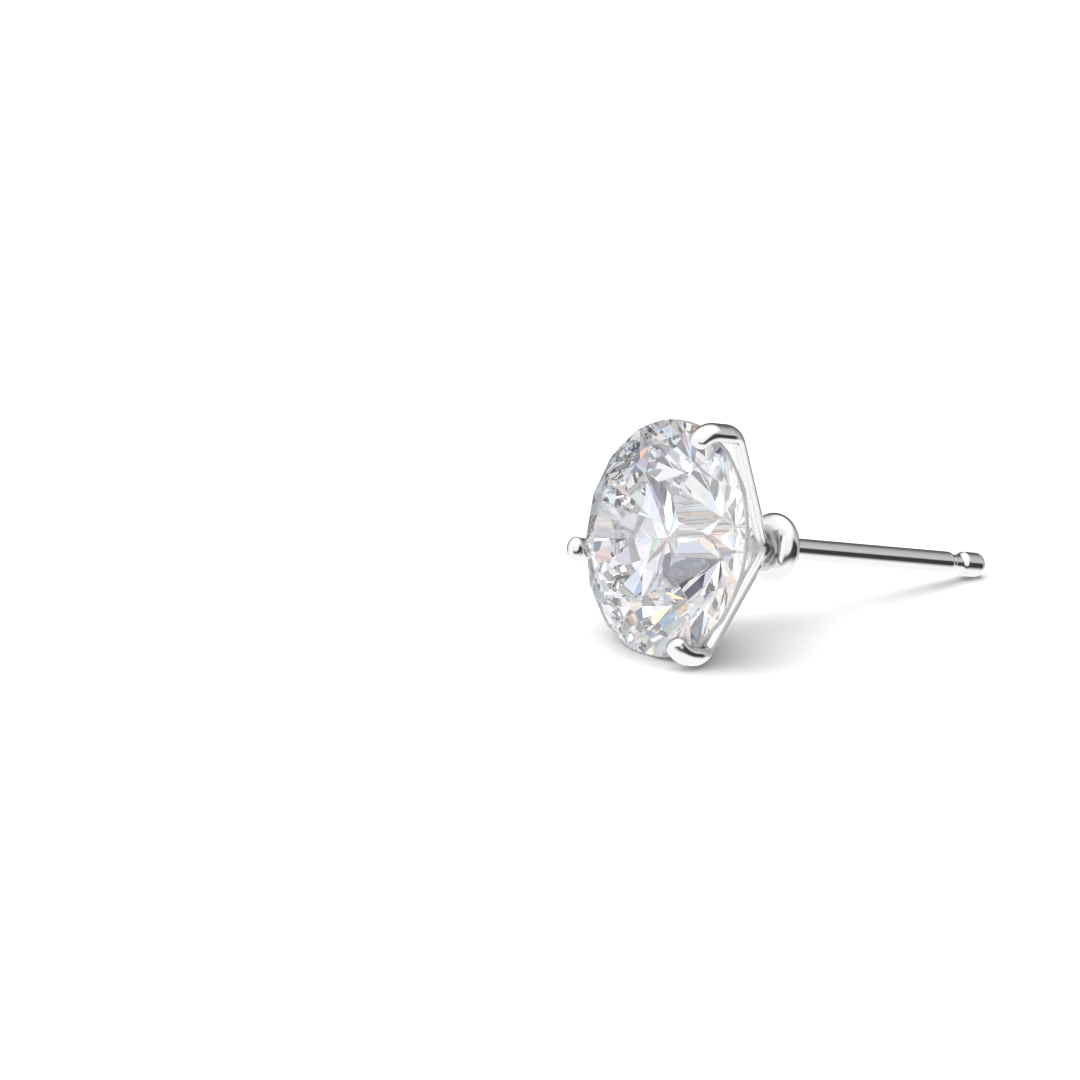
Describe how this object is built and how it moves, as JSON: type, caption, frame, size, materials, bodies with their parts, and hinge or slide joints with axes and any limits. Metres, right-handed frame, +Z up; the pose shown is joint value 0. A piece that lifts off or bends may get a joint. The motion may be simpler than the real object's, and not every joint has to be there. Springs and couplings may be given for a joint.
{
  "type": "stud earring",
  "caption": "Stud earring with one round brilliant stone in a cup of three prongs, a ring behind it and a straight post with a groove and a bead at its tip.",
  "frame": {"origin": "on the surface that the stud lies on, under the middle of its box", "axes": "+Z up, -Y the way the stone's table faces, +Y the way the post points. The stud lies on the edge of its stone and the bead of its post, so its axis drops 14 degrees from the stone to the tip"},
  "size_m": [0.009, 0.0172, 0.0086],
  "materials": {
    "stone": "colourless, cut in flat facets and polished",
    "metal": "white precious metal, mirror polished"
  },
  "bodies": {
    "root": {"stone": "stone", "setting": "metal"}
  },
  "joints": []
}
